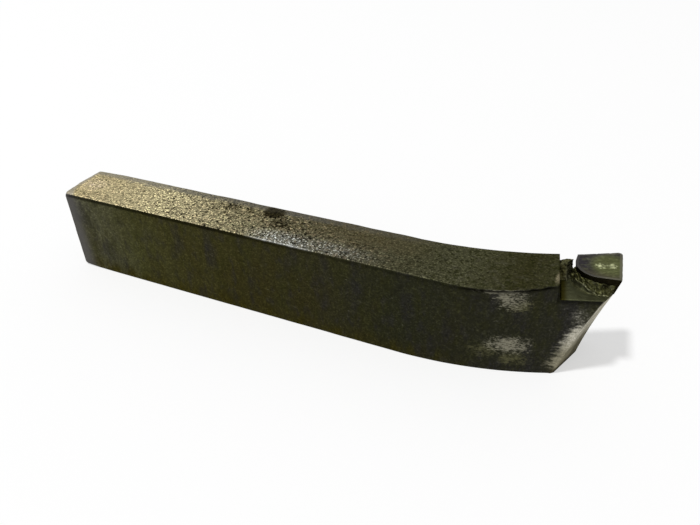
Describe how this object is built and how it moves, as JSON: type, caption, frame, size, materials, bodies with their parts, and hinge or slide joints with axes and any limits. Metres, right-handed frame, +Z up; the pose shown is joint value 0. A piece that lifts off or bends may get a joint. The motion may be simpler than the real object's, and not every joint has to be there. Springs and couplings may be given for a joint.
{
  "type": "brazed turning tool",
  "caption": "Lathe tool with a rectangular steel shank, a head bent to one side and a hard-metal tip brazed into a pocket at the nose.",
  "frame": {"origin": "on the base plane, on the shank's centreline, in the middle of the clamped length", "axes": "+X along the shank towards the nose, +Y to the side the head bends to, +Z up from the base to the top face"},
  "size_m": [0.1206, 0.0215, 0.02],
  "materials": {
    "shank_steel": "forged and blasted steel, dark and stained, ground bright on the nose bevel",
    "hard_metal": "ground sintered carbide, dull grey with a lighter land round its edge",
    "brazing_metal": "dull lumpy brazing brass with flux stains"
  },
  "bodies": {
    "root": {"tool_shank": "shank_steel", "carbide_tip": "hard_metal", "braze_filler": "brazing_metal"}
  },
  "joints": []
}
